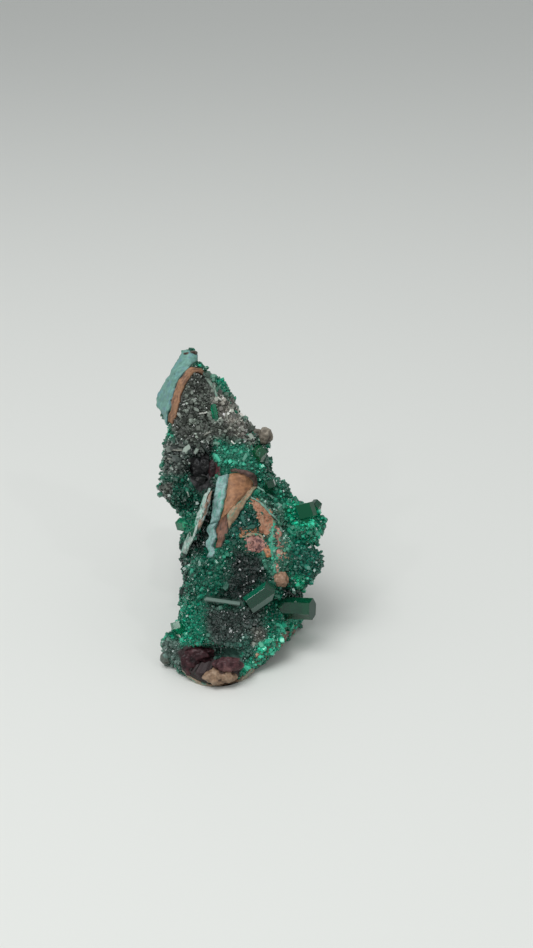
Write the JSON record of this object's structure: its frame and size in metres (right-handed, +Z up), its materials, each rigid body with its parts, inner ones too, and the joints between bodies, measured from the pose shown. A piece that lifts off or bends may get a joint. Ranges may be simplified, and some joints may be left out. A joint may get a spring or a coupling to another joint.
{
  "type": "dioptase mineral specimen",
  "caption": "Leaning lump of brown and grey ore matrix, flat underneath, grown over with sparkling green dioptase crystals, light blue crusts and orange-brown layers.",
  "frame": {"origin": "on the flat base, near the middle of its length, straight below the lower part of the specimen", "axes": "+Z up from the flat base; +Y towards the back, the way the broad face leans; +X to the right of someone who looks at the broad face"},
  "size_m": [0.0269, 0.0426, 0.0399],
  "materials": {
    "matrix": "matte",
    "dioptase": "gloss",
    "druse": "gloss",
    "crust": "matte"
  },
  "bodies": {
    "root": {"matrix": "matrix", "front_crystal": "dioptase", "ridge_crystal": "dioptase", "blade_crystal": "dioptase", "right_cluster": "dioptase", "spike_crystal": "dioptase", "left_cluster": "dioptase", "upper_crystal": "dioptase", "shoulder_crystal": "dioptase", "ledge_crystal": "dioptase", "edge_crystal": "dioptase"}
  },
  "joints": []
}
